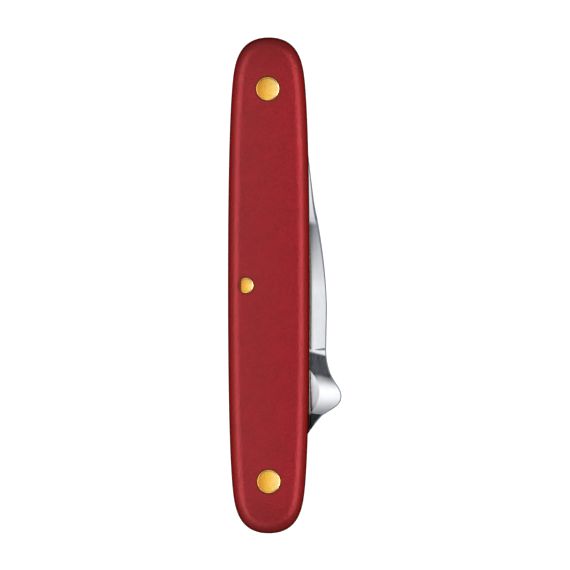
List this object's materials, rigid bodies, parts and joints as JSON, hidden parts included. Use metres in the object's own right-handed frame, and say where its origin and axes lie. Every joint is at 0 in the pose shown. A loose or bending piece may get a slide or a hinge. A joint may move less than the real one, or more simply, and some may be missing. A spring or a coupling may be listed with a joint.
{
  "type": "folding grafting knife",
  "caption": "Slip-joint folding grafting knife: rounded red scales, crowned brass rivets and a pivoting steel blade with a bark lifter on its back, shown folded.",
  "frame": {"origin": "middle of the rear scale's flat outer face, half-way along the handle", "axes": "+Y along the handle towards the pivot end, +X towards the side the blade opens on, +Z out of the front scale; the knife lies on its rear scale with the blade folded"},
  "size_m": [0.0229, 0.1, 0.012],
  "materials": {
    "scale_nylon": "fine matte moulded grain",
    "liner_brass": "satin",
    "spring_steel": "ground edges",
    "blade_steel": "polished",
    "bush_steel": "ground",
    "washer_bronze": "rolled",
    "rivet_brass": "polished crown"
  },
  "bodies": {
    "handle": {"rear_scale": "scale_nylon", "rear_liner": "liner_brass", "back_spring": "spring_steel", "front_liner": "liner_brass", "front_scale": "scale_nylon", "pivot_bush": "bush_steel", "front_tang_washer": "washer_bronze", "rear_tang_washer": "washer_bronze", "pivot_pin": "rivet_brass", "pivot_burr_front": "rivet_brass", "pivot_burr_rear": "rivet_brass", "end_pin": "rivet_brass", "end_burr_front": "rivet_brass", "end_burr_rear": "rivet_brass", "spring_pin": "rivet_brass", "spring_burr_front": "rivet_brass", "spring_burr_rear": "rivet_brass"},
    "blade": {"blade": "blade_steel"}
  },
  "joints": [
    {"name": "blade_hinge", "type": "hinge", "parent": "handle", "child": "blade", "pos_m": [-0.0002, 0.0396, 0.006], "axis": [0, 0, 1], "range_deg": [0, 180], "deforming": ["back_spring"]}
  ]
}
